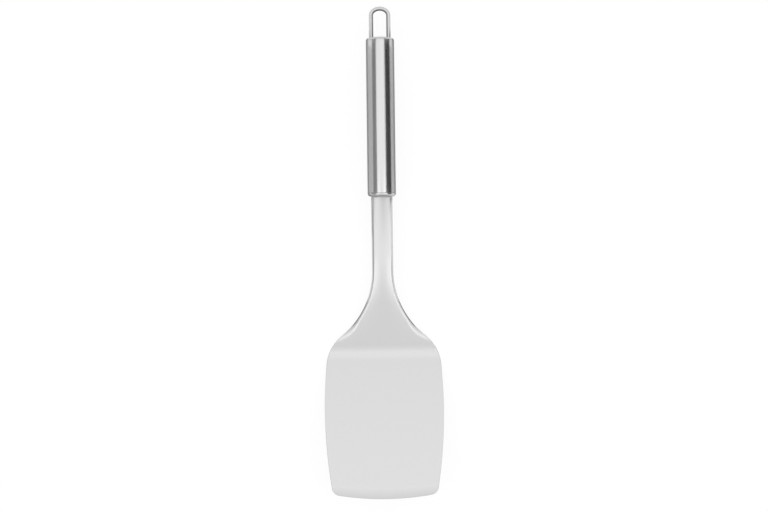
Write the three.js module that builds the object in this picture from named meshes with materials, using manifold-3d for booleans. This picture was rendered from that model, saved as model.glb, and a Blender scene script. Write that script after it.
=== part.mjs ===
// Stainless steel turner: a stamped blade and shank in a hollow tube handle with a wire loop.
// It lies face up on a table: X across the blade, Y along the handle, Z up, in millimetres.
import * as THREE from 'three';
import { mergeVertices } from 'three/addons/utils/BufferGeometryUtils.js';
import Module from 'manifold-3d';

// Handle tube
const TUBE_DIAMETER = 20;
const TUBE_WALL = 0.8;
const TUBE_LENGTH = 108.5;

// End caps, turned to the tube's diameter with a skirt that goes inside it
const LOWER_CORNER_RADIUS = 1.4;
const UPPER_CORNER_RADIUS = 1.7;
const CAP_CROWN_RADIUS = 200;
const CAP_FACE_WALL = 1.2;
const CAP_SKIRT_WALL = 0.8;
const CAP_SKIRT_LENGTH = 6;
const SKIRT_CLEARANCE = 0.2;
const SEAM_GAP = 0.3;

// Hanging loop: one bent wire with an elliptical arch, its legs just inside the cap's skirt
const WIRE_DIAMETER = 3;
const LOOP_REACH = 21;
const LOOP_ARCH = 4.8;
const LEG_INSERT = 6;
const LEG_SKIRT_CLEARANCE = 0.55;
const LEG_HOLE_CLEARANCE = 0.2;

// Sheet of the stamping and its ground front edge
const SHEET = 1.2;
const EDGE_THICKNESS = 0.5;
const BEVEL_WIDTH = 7;

// Side profile of the stamping, from the tang in the handle to the front edge, angles in degrees
const TANG_LENGTH = 24;
const SHANK_STRAIGHT = 38.1;
const BOW_LENGTH = 38;
const BOW_ANGLE = 14;
const NECK_LENGTH = 30.4;
const FOLD_RADIUS = 20;
const FOLD_ANGLE = 30;
const BLADE_LENGTH = 99.3;

// Outline of the stamping, seen square on; the shank just passes through the lower cap's skirt
const TANG_SKIRT_CLEARANCE = 0.65;
const SHANK_LENGTH = 52.5;
const FLARE_RADIUS = 62;
const SHOULDER_RADIUS = 28.8;
const BLADE_WIDTH = 84.4;
const WIDEST_FROM_FOLD = 33.5;
const SIDE_RADIUS = 345;
const CORNER_RADIUS = 6;
const FRONT_RADIUS = 195;

// Section of the shank and neck: a shallow crown whose rims turn down, angles in degrees
const CROWN_LEAN = 12;
const RIM_LEAN = 80;
const RIM_BEND_RADIUS = 1;
const RIM_LENGTH = 1.4;
const RIM_FADE_LENGTH = 16;
const RIM_END_BEFORE_FOLD = 4;
const SLOT_CLEARANCE = 0.3;

// Facets
const ROUND_SEGMENTS = 48;
const CAP_ARC_SEGMENTS = 5;
const WIRE_SIDES = 12;
const WIRE_STEPS = 48;
const CROWN_COLUMNS = 3;
const BEND_COLUMNS = 4;
const ARC_ROWS = { bow: 6, flare: 10, shoulder: 7, fold: 6, side: 9, corner: 5 };
const CLOSEST_ROWS = 0.25;
const WELD_TOLERANCE = 1e-4;

const { degToRad, lerp, clamp, smoothstep } = THREE.MathUtils;
const wasm = await Module();
wasm.setup();

// Solids

// Joins the shared vertices of a closed geometry and drops the triangles that shrink to nothing.
function weld(geometry) {
  const bare = geometry.clone();
  bare.deleteAttribute('normal');
  bare.deleteAttribute('uv');
  const merged = mergeVertices(bare, WELD_TOLERANCE);
  const index = merged.index.array;
  const kept = [];
  for (let i = 0; i < index.length; i += 3) {
    const [a, b, c] = index.slice(i, i + 3);
    if (a !== b && b !== c && c !== a) kept.push(a, b, c);
  }
  merged.setIndex(kept);
  return merged;
}

function toSolid(geometry) {
  const welded = weld(geometry);
  return new wasm.Manifold(new wasm.Mesh({
    numProp: 3,
    vertProperties: new Float32Array(welded.attributes.position.array),
    triVerts: new Uint32Array(welded.index.array),
  }));
}

function toGeometry(solid) {
  const mesh = solid.getMesh();
  const geometry = new THREE.BufferGeometry();
  geometry.setAttribute('position', new THREE.BufferAttribute(mesh.vertProperties, mesh.numProp));
  geometry.setIndex(new THREE.BufferAttribute(mesh.triVerts, 1));
  geometry.computeVertexNormals();
  return geometry;
}

function cut(geometry, cutters) {
  const whole = toSolid(geometry);
  return toGeometry(cutters.reduce((solid, cutter) => solid.subtract(toSolid(cutter)), whole));
}

// A sheet between two grids of points, rows by columns, closed round its four edges.
function sheetBetween(lower, upper) {
  const rows = lower.length;
  const columns = lower[0].length;
  const below = (row, column) => row * columns + column;
  const above = (row, column) => rows * columns + below(row, column);
  const index = [];
  const quad = (a, b, c, d) => index.push(a, b, c, a, c, d);
  const right = columns - 1;
  const front = rows - 1;
  for (let i = 0; i < front; i += 1) {
    for (let j = 0; j < right; j += 1) {
      quad(above(i, j), above(i + 1, j), above(i + 1, j + 1), above(i, j + 1));
      quad(below(i, j), below(i, j + 1), below(i + 1, j + 1), below(i + 1, j));
    }
    quad(below(i, 0), below(i + 1, 0), above(i + 1, 0), above(i, 0));
    quad(below(i + 1, right), below(i, right), above(i, right), above(i + 1, right));
  }
  for (let j = 0; j < right; j += 1) {
    quad(below(0, j + 1), below(0, j), above(0, j), above(0, j + 1));
    quad(below(front, j), below(front, j + 1), above(front, j + 1), above(front, j));
  }
  const geometry = new THREE.BufferGeometry().setFromPoints([...lower.flat(), ...upper.flat()]);
  geometry.setIndex(index);
  geometry.computeVertexNormals();
  return geometry;
}

// Handle tube and end caps, turned about the Y axis with the tube's blade end at y = 0

const tubeRadius = TUBE_DIAMETER / 2;
const boreRadius = tubeRadius - TUBE_WALL;
const skirtRadius = boreRadius - SKIRT_CLEARANCE;
const skirtInside = skirtRadius - CAP_SKIRT_WALL;

function makeTube() {
  const profile = [
    new THREE.Vector2(boreRadius, 0),
    new THREE.Vector2(tubeRadius, 0),
    new THREE.Vector2(tubeRadius, TUBE_LENGTH),
    new THREE.Vector2(boreRadius, TUBE_LENGTH),
    new THREE.Vector2(boreRadius, 0),
  ];
  return new THREE.LatheGeometry(profile, ROUND_SEGMENTS);
}

// The end face is part of a large sphere that runs smoothly into the rounded corner.
function capSizes(cornerRadius) {
  const cornerCentre = new THREE.Vector2(tubeRadius - cornerRadius, SEAM_GAP);
  const crownToCorner = CAP_CROWN_RADIUS - cornerRadius;
  const crownCentre = cornerCentre.y - Math.sqrt(crownToCorner ** 2 - cornerCentre.x ** 2);
  const crownEdge = Math.asin(cornerCentre.x / crownToCorner);
  return { cornerRadius, cornerCentre, crownCentre, crownEdge, height: crownCentre + CAP_CROWN_RADIUS };
}

const lowerCap = capSizes(LOWER_CORNER_RADIUS);
const upperCap = capSizes(UPPER_CORNER_RADIUS);

// One cap on a tube that ends at y = 0, with its face towards +Y.
function makeCap({ cornerRadius, cornerCentre, crownCentre, crownEdge, height }) {
  const arc = (x, y, radius, from, to) => Array.from({ length: CAP_ARC_SEGMENTS + 1 }, (_, i) => {
    const angle = lerp(from, to, i / CAP_ARC_SEGMENTS);
    return new THREE.Vector2(x + radius * Math.sin(angle), y + radius * Math.cos(angle));
  });
  const face = arc(0, crownCentre, CAP_CROWN_RADIUS, 0, crownEdge);
  const corner = arc(cornerCentre.x, cornerCentre.y, cornerRadius, crownEdge, Math.PI / 2);
  const profile = [
    ...face,
    ...corner.slice(1),
    new THREE.Vector2(skirtRadius, SEAM_GAP),
    new THREE.Vector2(skirtRadius, -CAP_SKIRT_LENGTH),
    new THREE.Vector2(skirtInside, -CAP_SKIRT_LENGTH),
    new THREE.Vector2(skirtInside, height - CAP_FACE_WALL),
    new THREE.Vector2(0, height - CAP_FACE_WALL),
  ];
  return new THREE.LatheGeometry(profile.reverse(), ROUND_SEGMENTS);
}

// Hanging loop

const legOffset = skirtInside - LEG_SKIRT_CLEARANCE - WIRE_DIAMETER / 2;

// The wire's centre line: up one leg, over half an ellipse and down the other leg.
class LoopLine extends THREE.Curve {
  getPoint(t, target = new THREE.Vector3()) {
    const foot = TUBE_LENGTH + upperCap.height - LEG_INSERT;
    const spring = TUBE_LENGTH + upperCap.height + LOOP_REACH - LOOP_ARCH;
    const part = 3 * t;
    if (part <= 1) return target.set(-legOffset, lerp(foot, spring, part), 0);
    if (part >= 2) return target.set(legOffset, lerp(spring, foot, part - 2), 0);
    const angle = Math.PI * (2 - part);
    return target.set(legOffset * Math.cos(angle), spring + LOOP_ARCH * Math.sin(angle), 0);
  }
}

function makeLoop() {
  const round = new THREE.Shape().absarc(0, 0, WIRE_DIAMETER / 2, 0, 2 * Math.PI);
  return new THREE.ExtrudeGeometry(round, {
    curveSegments: WIRE_SIDES / 2,
    steps: WIRE_STEPS,
    extrudePath: new LoopLine(),
  });
}

function makeUpperCap() {
  const radius = WIRE_DIAMETER / 2 + LEG_HOLE_CLEARANCE;
  const holes = [-1, 1].map((side) => {
    const hole = new THREE.CylinderGeometry(radius, radius, 2 * LEG_INSERT, 2 * WIRE_SIDES);
    return hole.translate(side * legOffset, upperCap.height, 0);
  });
  return cut(makeCap(upperCap), holes).translate(0, TUBE_LENGTH, 0);
}

// Side profile of the stamping: the line of its underside, walked from the tang towards the front

const foldOutside = FOLD_RADIUS + SHEET;
const profileParts = [
  { length: TANG_LENGTH + lowerCap.height + SHANK_STRAIGHT, turn: 0 },
  { length: BOW_LENGTH, turn: -degToRad(BOW_ANGLE) },
  { length: NECK_LENGTH, turn: 0 },
  { length: foldOutside * degToRad(FOLD_ANGLE), turn: degToRad(FOLD_ANGLE) },
  { length: BLADE_LENGTH, turn: 0 },
];
const lengthOf = (count) => profileParts.slice(0, count).reduce((sum, part) => sum + part.length, 0);
const bowStart = lengthOf(1);
const bowEnd = lengthOf(2);
const foldStart = lengthOf(3);
const foldEnd = lengthOf(4);
const frontEnd = lengthOf(5);

// How far an arc of a given length travels along and across the line from which its turn counts.
function arcTravel(length, start, turn) {
  const half = turn / 2;
  const chord = half === 0 ? length : length * Math.sin(half) / half;
  return { along: chord * Math.cos(start + half), across: chord * Math.sin(start + half) };
}

// Place of the underside at a distance from the tang's end; it rises forwards where pitch > 0.
function profileAt(distance) {
  const place = { y: TANG_LENGTH, z: tangLift, pitch: 0 };
  let left = distance;
  profileParts.forEach(({ length, turn }) => {
    const run = Math.min(left, length);
    const bend = turn * run / length;
    const travel = arcTravel(run, place.pitch, bend);
    place.y -= travel.along;
    place.z += travel.across;
    place.pitch += bend;
    left -= run;
  });
  return place;
}

// Outline of the stamping: arcs that touch each other, as half widths along the profile

// The point at given distances from two centres that lies further forward.
function meet(a, fromA, b, fromB) {
  const span = a.distanceTo(b);
  const along = (span ** 2 + fromA ** 2 - fromB ** 2) / (2 * span);
  const across = Math.sqrt(fromA ** 2 - along ** 2);
  const direction = b.clone().sub(a).divideScalar(span);
  const normal = new THREE.Vector2(-direction.y, direction.x);
  const foot = a.clone().addScaledVector(direction, along);
  return foot.addScaledVector(normal, Math.sign(normal.y) * across);
}

const towards = (from, to, distance) => to.clone().sub(from).setLength(distance).add(from);

const shankHalf = skirtInside - TANG_SKIRT_CLEARANCE;
const flareStart = TANG_LENGTH + lowerCap.height + SHANK_LENGTH;
const flareCentre = new THREE.Vector2(shankHalf + FLARE_RADIUS, flareStart);
const sideCentre = new THREE.Vector2(BLADE_WIDTH / 2 - SIDE_RADIUS, foldEnd + WIDEST_FROM_FOLD);
const frontCentre = new THREE.Vector2(0, frontEnd - FRONT_RADIUS);
const shoulderCentre = meet(
  flareCentre, FLARE_RADIUS + SHOULDER_RADIUS, sideCentre, SIDE_RADIUS - SHOULDER_RADIUS);
const cornerBlend = meet(
  frontCentre, FRONT_RADIUS - CORNER_RADIUS, sideCentre, SIDE_RADIUS - CORNER_RADIUS);

const flareEnd = towards(flareCentre, shoulderCentre, FLARE_RADIUS).y;
const shoulderEnd = towards(sideCentre, shoulderCentre, SIDE_RADIUS).y;
const sideEnd = towards(sideCentre, cornerBlend, SIDE_RADIUS).y;
const cornerEnd = towards(frontCentre, cornerBlend, FRONT_RADIUS);

const arc = (centre, radius, side, from, to, rows) => ({ centre, radius, side, from, to, rows });
const outline = [
  arc(flareCentre, FLARE_RADIUS, -1, flareStart, flareEnd, ARC_ROWS.flare),
  arc(shoulderCentre, SHOULDER_RADIUS, 1, flareEnd, shoulderEnd, ARC_ROWS.shoulder),
  arc(sideCentre, SIDE_RADIUS, 1, shoulderEnd, sideEnd, ARC_ROWS.side),
  arc(cornerBlend, CORNER_RADIUS, 1, sideEnd, cornerEnd.y, ARC_ROWS.corner),
];

function halfWidth(distance) {
  const found = outline.find(({ from, to }) => distance >= from && distance <= to);
  if (!found) return distance < flareStart ? shankHalf : cornerEnd.x;
  const reach = found.radius ** 2 - (distance - found.centre.y) ** 2;
  return found.centre.x + found.side * Math.sqrt(Math.max(0, reach));
}

// Rows at equal angles along each arc of the outline and at equal steps along each bend.
function rowDistances() {
  const rows = [0, TANG_LENGTH + lowerCap.height, cornerEnd.y - BEVEL_WIDTH];
  outline.forEach(({ centre, radius, from, to, rows: count }) => {
    const first = Math.asin((from - centre.y) / radius);
    const last = Math.asin((to - centre.y) / radius);
    for (let i = 0; i <= count; i += 1) {
      rows.push(centre.y + radius * Math.sin(lerp(first, last, i / count)));
    }
  });
  const bends = [[bowStart, bowEnd, ARC_ROWS.bow], [foldStart, foldEnd, ARC_ROWS.fold]];
  bends.forEach(([from, to, count]) => {
    for (let i = 0; i <= count; i += 1) rows.push(lerp(from, to, i / count));
  });
  rows.sort((a, b) => a - b);
  return rows.filter((row, i) => i === rows.length - 1 || rows[i + 1] - row > CLOSEST_ROWS);
}

// Section of the stamping

const rimBendArc = RIM_BEND_RADIUS * degToRad(RIM_LEAN - CROWN_LEAN);
const rimEnd = foldStart - RIM_END_BEFORE_FOLD;

// Both shares run from 1 on the shank to 0 where the sheet has become flat.
const rimShare = (distance) => 1 - smoothstep(distance, rimEnd - RIM_FADE_LENGTH, rimEnd);
const crownShare = (distance) => 1 - smoothstep(distance, flareStart, foldStart);

// Half of the underside's line at a row, from the middle to the rim: place and outward lean.
// The rim runs along the outline, so it is stretched sideways where the outline slants.
function halfSection(distance) {
  const rim = degToRad(RIM_LEAN) * rimShare(distance);
  const crown = Math.min(rim, degToRad(CROWN_LEAN) * crownShare(distance));
  const step = CLOSEST_ROWS / 2;
  const slope = (halfWidth(distance + step) - halfWidth(distance - step)) / (2 * step);
  const stretch = lerp(1, Math.hypot(1, slope), rimShare(distance));
  const bend = arcTravel(rimBendArc, crown, rim - crown);
  const rimReach = SHEET * Math.sin(rim) + bend.along + RIM_LENGTH * Math.cos(rim);
  const crownReach = halfWidth(distance) - stretch * rimReach;
  const points = [];
  for (let i = 0; i <= CROWN_COLUMNS; i += 1) {
    const x = crownReach * i / CROWN_COLUMNS;
    const lean = Math.asin(Math.sin(crown) * i / CROWN_COLUMNS);
    points.push({ x, z: -x * Math.tan(lean / 2), lean });
  }
  const bendStart = points.at(-1);
  for (let i = 1; i <= BEND_COLUMNS; i += 1) {
    const turn = (rim - crown) * i / BEND_COLUMNS;
    const travel = arcTravel(rimBendArc * i / BEND_COLUMNS, crown, turn);
    const x = bendStart.x + stretch * travel.along;
    points.push({ x, z: bendStart.z - travel.across, lean: crown + turn });
  }
  const rimStart = points.at(-1);
  const x = rimStart.x + stretch * RIM_LENGTH * Math.cos(rim);
  points.push({ x, z: rimStart.z - RIM_LENGTH * Math.sin(rim), lean: rim });
  return points;
}

const wholeSection = (half) => [
  ...half.slice(1).reverse().map(({ x, z, lean }) => ({ x: -x, z, lean: -lean })),
  ...half,
];

// The shank's section is centred on the handle's axis.
const shankSection = wholeSection(halfSection(0));
const tangLift = -(shankSection.at(-1).z + SHEET) / 2;

// Blade and shank

// The last rows bow forwards towards the middle, so that the front edge is an arc.
function undersideRow(distance) {
  const section = wholeSection(halfSection(distance));
  const edge = section.at(-1).x;
  const bowShare = clamp((distance - sideCentre.y) / (cornerEnd.y - sideCentre.y), 0, 1);
  const bow = bowShare ** 2 * (frontEnd - cornerEnd.y);
  return section.map(({ x, z }) => {
    const { y, z: height, pitch } = profileAt(distance + bow * (1 - (x / edge) ** 2));
    return new THREE.Vector3(x, y + z * Math.sin(pitch), height + z * Math.cos(pitch));
  });
}

// The sheet's upward normal at each point of a grid, from its neighbours along and across.
function gridNormals(grid) {
  return grid.map((row, i) => row.map((_, j) => {
    const before = grid[Math.max(i - 1, 0)][j];
    const after = grid[Math.min(i + 1, grid.length - 1)][j];
    const along = after.clone().sub(before);
    const across = row[Math.min(j + 1, row.length - 1)].clone().sub(row[Math.max(j - 1, 0)]);
    return along.cross(across).normalize();
  }));
}

function makeBladeAndShank() {
  const distances = rowDistances();
  const underside = distances.map(undersideRow);
  const normals = gridNormals(underside);
  const top = underside.map((row, i) => {
    const behindEdge = clamp((cornerEnd.y - distances[i]) / BEVEL_WIDTH, 0, 1);
    const thickness = lerp(EDGE_THICKNESS, SHEET, behindEdge);
    return row.map((point, j) => point.clone().addScaledVector(normals[i][j], thickness));
  });
  return sheetBetween(underside, top);
}

// The shank's section with clearance all round is cut through the face of the lower cap.
function makeLowerCap() {
  const offset = (distance) => shankSection.map(({ x, z, lean }, i) => {
    const isEnd = i === 0 || i === shankSection.length - 1;
    const past = isEnd ? SLOT_CLEARANCE * Math.sign(x) : 0;
    return new THREE.Vector2(
      x + distance * Math.sin(lean) + past * Math.cos(lean),
      tangLift + z + distance * Math.cos(lean) - past * Math.sin(lean));
  });
  const slot = new THREE.Shape([
    ...offset(SHEET + SLOT_CLEARANCE),
    ...offset(-SLOT_CLEARANCE).reverse(),
  ]);
  const cutter = new THREE.ExtrudeGeometry(slot, { depth: 2 * lowerCap.height, bevelEnabled: false });
  cutter.rotateX(Math.PI / 2);
  return cut(makeCap(lowerCap).rotateZ(Math.PI), [cutter]);
}

// Finishes

function steel(name, color, roughness) {
  return new THREE.MeshStandardMaterial({ name, color, roughness, metalness: 1 });
}

const brushedTube = steel('brushed stainless tube', 0xb9babb, 0.32);
const turnedCap = steel('polished stainless cap', 0xc4c5c6, 0.24);
const drawnWire = steel('polished stainless wire', 0xc8c9ca, 0.2);
const satinSheet = steel('satin stainless sheet', 0xd0d1d2, 0.38);

// Assembly

function piece(name, geometry, material) {
  const mesh = new THREE.Mesh(geometry, material);
  mesh.name = name;
  return mesh;
}

const tool = new THREE.Group();
tool.add(
  piece('blade_and_shank', makeBladeAndShank(), satinSheet),
  piece('handle_tube', makeTube(), brushedTube),
  piece('lower_end_cap', makeLowerCap(), turnedCap),
  piece('upper_end_cap', makeUpperCap(), turnedCap.clone()),
  piece('hanging_loop', makeLoop(), drawnWire),
);

// On a table the turner rests on the heel of the fold and on the rounded corner of the upper cap,
// so it is turned until the line that touches both from below is level.
const fold = profileAt(foldStart);
const heel = new THREE.Vector2(
  fold.y + foldOutside * Math.sin(fold.pitch),
  fold.z + foldOutside * Math.cos(fold.pitch));
const tail = new THREE.Vector2(TUBE_LENGTH + SEAM_GAP, -upperCap.cornerCentre.x);
const span = tail.clone().sub(heel);
const slant = Math.atan2(span.y, span.x);
tool.rotation.x = Math.asin((UPPER_CORNER_RADIUS - foldOutside) / span.length()) - slant;

// The origin is under the middle of the whole object, on the table.
const box = new THREE.Box3().setFromObject(tool, true);
const middle = box.getCenter(new THREE.Vector3());
tool.position.set(-middle.x, -middle.y, -box.min.z);

const turner = new THREE.Group();
turner.add(tool);

export default turner;
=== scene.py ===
"""Stainless steel turner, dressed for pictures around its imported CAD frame.

The turner lies face up on a table: X runs across the blade, Y along the handle towards the
hanging loop and Z up. Each piece is worked out in the turner's own frame, in millimetres, with
the handle's axis on Y and the blade end of the tube at y = 0. It is then laid on the axis of the
CAD tube, in metres.
"""

import logging
import math
from dataclasses import dataclass, field, replace
from enum import Enum

import bpy
import numpy as np
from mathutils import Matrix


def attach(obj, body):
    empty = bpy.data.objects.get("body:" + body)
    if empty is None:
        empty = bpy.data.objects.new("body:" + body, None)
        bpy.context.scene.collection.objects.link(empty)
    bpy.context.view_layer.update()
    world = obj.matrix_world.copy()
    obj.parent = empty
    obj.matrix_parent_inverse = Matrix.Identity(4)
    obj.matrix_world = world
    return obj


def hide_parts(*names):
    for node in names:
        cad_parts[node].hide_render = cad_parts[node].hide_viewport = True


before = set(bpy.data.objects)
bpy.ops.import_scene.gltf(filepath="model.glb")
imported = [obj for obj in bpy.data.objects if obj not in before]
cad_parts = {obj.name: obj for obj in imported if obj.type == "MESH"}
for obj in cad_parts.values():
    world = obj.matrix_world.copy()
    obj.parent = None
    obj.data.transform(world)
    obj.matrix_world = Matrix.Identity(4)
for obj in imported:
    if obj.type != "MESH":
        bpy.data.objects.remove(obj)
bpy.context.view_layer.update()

MM = 0.001
IMAGE_WIDTH = 768
SENSOR_WIDTH = 36.0

# How far the edges of a weld lie inside the steel, in millimetres.
WELD_SINK = 0.02

Values = np.ndarray | float

log = logging.getLogger("turner")


# Small helpers


def linear(hex_colour: str) -> tuple[float, float, float, float]:
    """Turns an sRGB colour into the linear colour that shaders work with.

    Args:
        hex_colour: Six hexadecimal digits after a hash sign.

    Returns:
        Linear red, green and blue, with an alpha of 1.
    """
    srgb = np.array([int(hex_colour[i:i + 2], 16) for i in (1, 3, 5)]) / 255
    low = srgb / 12.92
    high = ((srgb + 0.055) / 1.055) ** 2.4
    return (*np.where(srgb <= 0.04045, low, high).tolist(), 1.0)


def smoothstep(value: np.ndarray, start: float, end: float) -> np.ndarray:
    """Rises from 0 at start to 1 at end along the cubic 3t^2 - 2t^3.

    Args:
        value: Where to read the curve.
        start: Value at and below which it is 0.
        end: Value at and above which it is 1.

    Returns:
        The curve's heights.
    """
    t = np.clip((value - start) / (end - start), 0, 1)
    return t * t * (3 - 2 * t)


def arc_travel(length: Values, start: Values, turn: Values) -> tuple[np.ndarray, np.ndarray]:
    """Finds how far arcs travel from where they begin.

    The chord of an arc is its length times sin(h) / h, where h is half its turn, and the chord
    points along the start direction turned by h.

    Args:
        length: Arc lengths.
        start: Directions at the beginning, in radians.
        turn: How far each arc turns, in radians.

    Returns:
        Travel along and across the line from which the directions count.
    """
    chord = length * np.sinc(np.asarray(turn) / (2 * np.pi))
    return chord * np.cos(start + turn / 2), chord * np.sin(start + turn / 2)


def unit(vectors: np.ndarray) -> np.ndarray:
    """Scales vectors, held along the last axis, to a length of 1."""
    return vectors / np.linalg.norm(vectors, axis=-1, keepdims=True)


def fresh_tree(block: bpy.types.ID) -> bpy.types.NodeTree:
    """Gives a material or a world an empty node tree.

    Args:
        block: The material or the world.

    Returns:
        Its node tree.
    """
    block.use_nodes = True
    block.node_tree.nodes.clear()
    return block.node_tree


def add_node(tree: bpy.types.NodeTree, kind: str, settings: dict | None = None,
             links: dict | None = None) -> bpy.types.Node:
    """Adds one node with its settings and the links that feed it.

    Args:
        tree: Tree that gets the node.
        kind: Blender's name of the node type.
        settings: Values by name, of the node itself or else of its input sockets.
        links: Output sockets by the name or number of the input that each one feeds.

    Returns:
        The new node.
    """
    node = tree.nodes.new(kind)
    for name, value in (settings or {}).items():
        if isinstance(name, str) and hasattr(node, name):
            setattr(node, name, value)
        else:
            node.inputs[name].default_value = value
    for name, source in (links or {}).items():
        tree.links.new(source, node.inputs[name])
    return node


def add_object(name: str, data: bpy.types.ID) -> bpy.types.Object:
    """Puts a mesh, a lamp or a camera into the scene.

    Args:
        name: Name of the new object.
        data: The mesh, lamp or camera.

    Returns:
        The new object, at the origin.
    """
    new_object = bpy.data.objects.new(name, data)
    bpy.context.scene.collection.objects.link(new_object)
    return new_object


# Places and meshes


@dataclass(frozen=True)
class HandleAxis:
    """The axis of the CAD tube, on which every piece is laid.

    Attributes:
        origin: Blade end of the tube on its axis, in metres.
        tilt: Turn of the axis about X away from the table, in radians.
    """

    origin: np.ndarray
    tilt: float

    @classmethod
    def of_tube(cls, node: str, length: float) -> "HandleAxis":
        """Finds the axis as the line between the middles of the tube's two ends.

        Args:
            node: Name of the tube's CAD node.
            length: Length of the tube in millimetres.

        Returns:
            The axis.
        """
        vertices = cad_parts[node].data.vertices
        flat = np.empty(3 * len(vertices))
        vertices.foreach_get("co", flat)
        points = flat.reshape(-1, 3)
        middle = (points.min(0) + points.max(0)) / 2
        is_far = points[:, 1] > middle[1]
        along = unit(points[is_far].mean(0) - points[~is_far].mean(0))
        return cls(middle - along * length * MM / 2, math.atan2(along[2], along[1]))

    def place(self, points: np.ndarray) -> np.ndarray:
        """Turns points about X by the tilt and moves them onto the axis.

        Args:
            points: Points in the turner's own frame, in millimetres.

        Returns:
            Points in the row frame, in metres.
        """
        x, y, z = np.moveaxis(points * MM, -1, 0)
        c, s = math.cos(self.tilt), math.sin(self.tilt)
        return np.stack([x, y * c - z * s, y * s + z * c], axis=-1) + self.origin


@dataclass
class Surface:
    """Points of one or more grids, and the quads between them.

    Attributes:
        points: Points in the turner's own frame, in millimetres, one per row.
        quads: Four point numbers per row, counter-clockwise seen from outside.
        marks: Values from 0 to 1, one per point, by name.
    """

    points: np.ndarray = field(default_factory=lambda: np.empty((0, 3)))
    quads: np.ndarray = field(default_factory=lambda: np.empty((0, 4), int))
    marks: dict[str, np.ndarray] = field(default_factory=dict)

    def add_points(self, grid: np.ndarray) -> np.ndarray:
        """Adds a grid of points.

        Args:
            grid: Points, with x, y and z along the last axis.

        Returns:
            The points' numbers, in the grid's shape.
        """
        first = len(self.points)
        self.points = np.concatenate([self.points, grid.reshape(-1, 3)])
        return np.arange(first, len(self.points)).reshape(grid.shape[:-1])

    def add_quads(self, numbers: np.ndarray, wrap_rows: bool = False,
                  wrap_columns: bool = False) -> None:
        """Adds the quads between neighbouring points of a grid.

        They face along rows crossed with columns, the directions in which the numbers run.

        Args:
            numbers: Point numbers, rows by columns.
            wrap_rows: Whether the last row joins the first.
            wrap_columns: Whether the last column joins the first.
        """
        if wrap_rows:
            numbers = np.concatenate([numbers, numbers[:1]], axis=0)
        if wrap_columns:
            numbers = np.concatenate([numbers, numbers[:, :1]], axis=1)
        corners = (numbers[:-1, :-1], numbers[1:, :-1], numbers[1:, 1:], numbers[:-1, 1:])
        self.quads = np.concatenate([self.quads, np.stack(corners, -1).reshape(-1, 4)])

    def to_piece(self, name: str, axis: HandleAxis, material: bpy.types.Material) -> bpy.types.Object:
        """Makes the surface a smooth mesh that rides with the turner.

        Args:
            name: Name of the piece.
            axis: Axis on which it is laid.
            material: Its finish.

        Returns:
            The new object, at the origin, with its place in its mesh.
        """
        mesh = bpy.data.meshes.new(name)
        count = len(self.quads)
        mesh.vertices.add(len(self.points))
        mesh.vertices.foreach_set("co", axis.place(self.points).ravel())
        mesh.loops.add(4 * count)
        mesh.loops.foreach_set("vertex_index", self.quads.ravel())
        mesh.polygons.add(count)
        mesh.polygons.foreach_set("loop_start", np.arange(0, 4 * count, 4))
        mesh.polygons.foreach_set("use_smooth", np.ones(count, bool))
        mesh.update(calc_edges=True)
        for mark, values in self.marks.items():
            layer = mesh.attributes.new(mark, "FLOAT", "POINT")
            layer.data.foreach_set("value", values.ravel())
        mesh.validate()
        mesh.materials.append(material)
        piece = add_object(name, mesh)
        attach(piece, "root")
        log.info("%s: %d points, %d quads", name, len(self.points), count)
        return piece


def turned(profile: np.ndarray, segments: int) -> np.ndarray:
    """Turns a profile round the Y axis.

    The point of radius r and height h at the angle a lies at (r sin a, h, r cos a).

    Args:
        profile: Radii and heights, one point per row.
        segments: Number of steps in a full turn.

    Returns:
        Points, profile by segments.
    """
    radius, height = profile[:, :1], profile[:, 1:]
    angle = np.linspace(0, 2 * np.pi, segments, endpoint=False)
    x, y, z = np.broadcast_arrays(radius * np.sin(angle), height, radius * np.cos(angle))
    return np.stack([x, y, z], axis=-1)


def arc_points(centre: tuple[float, float], radius: float, start: float, end: float,
               steps: int) -> np.ndarray:
    """Places points along an arc whose angle counts from the second axis towards the first.

    Args:
        centre: Centre of the arc.
        radius: Radius of the arc.
        start: First angle in radians.
        end: Last angle in radians.
        steps: Number of steps.

    Returns:
        Points, one per row.
    """
    angle = np.linspace(start, end, steps + 1)
    return np.stack([centre[0] + radius * np.sin(angle), centre[1] + radius * np.cos(angle)], -1)


# Finishes


class Grain(Enum):
    """How the last tool ran over the steel."""

    LENGTHWISE = "brushed along the handle"
    TURNED = "turned in rings about the handle's axis"


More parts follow.
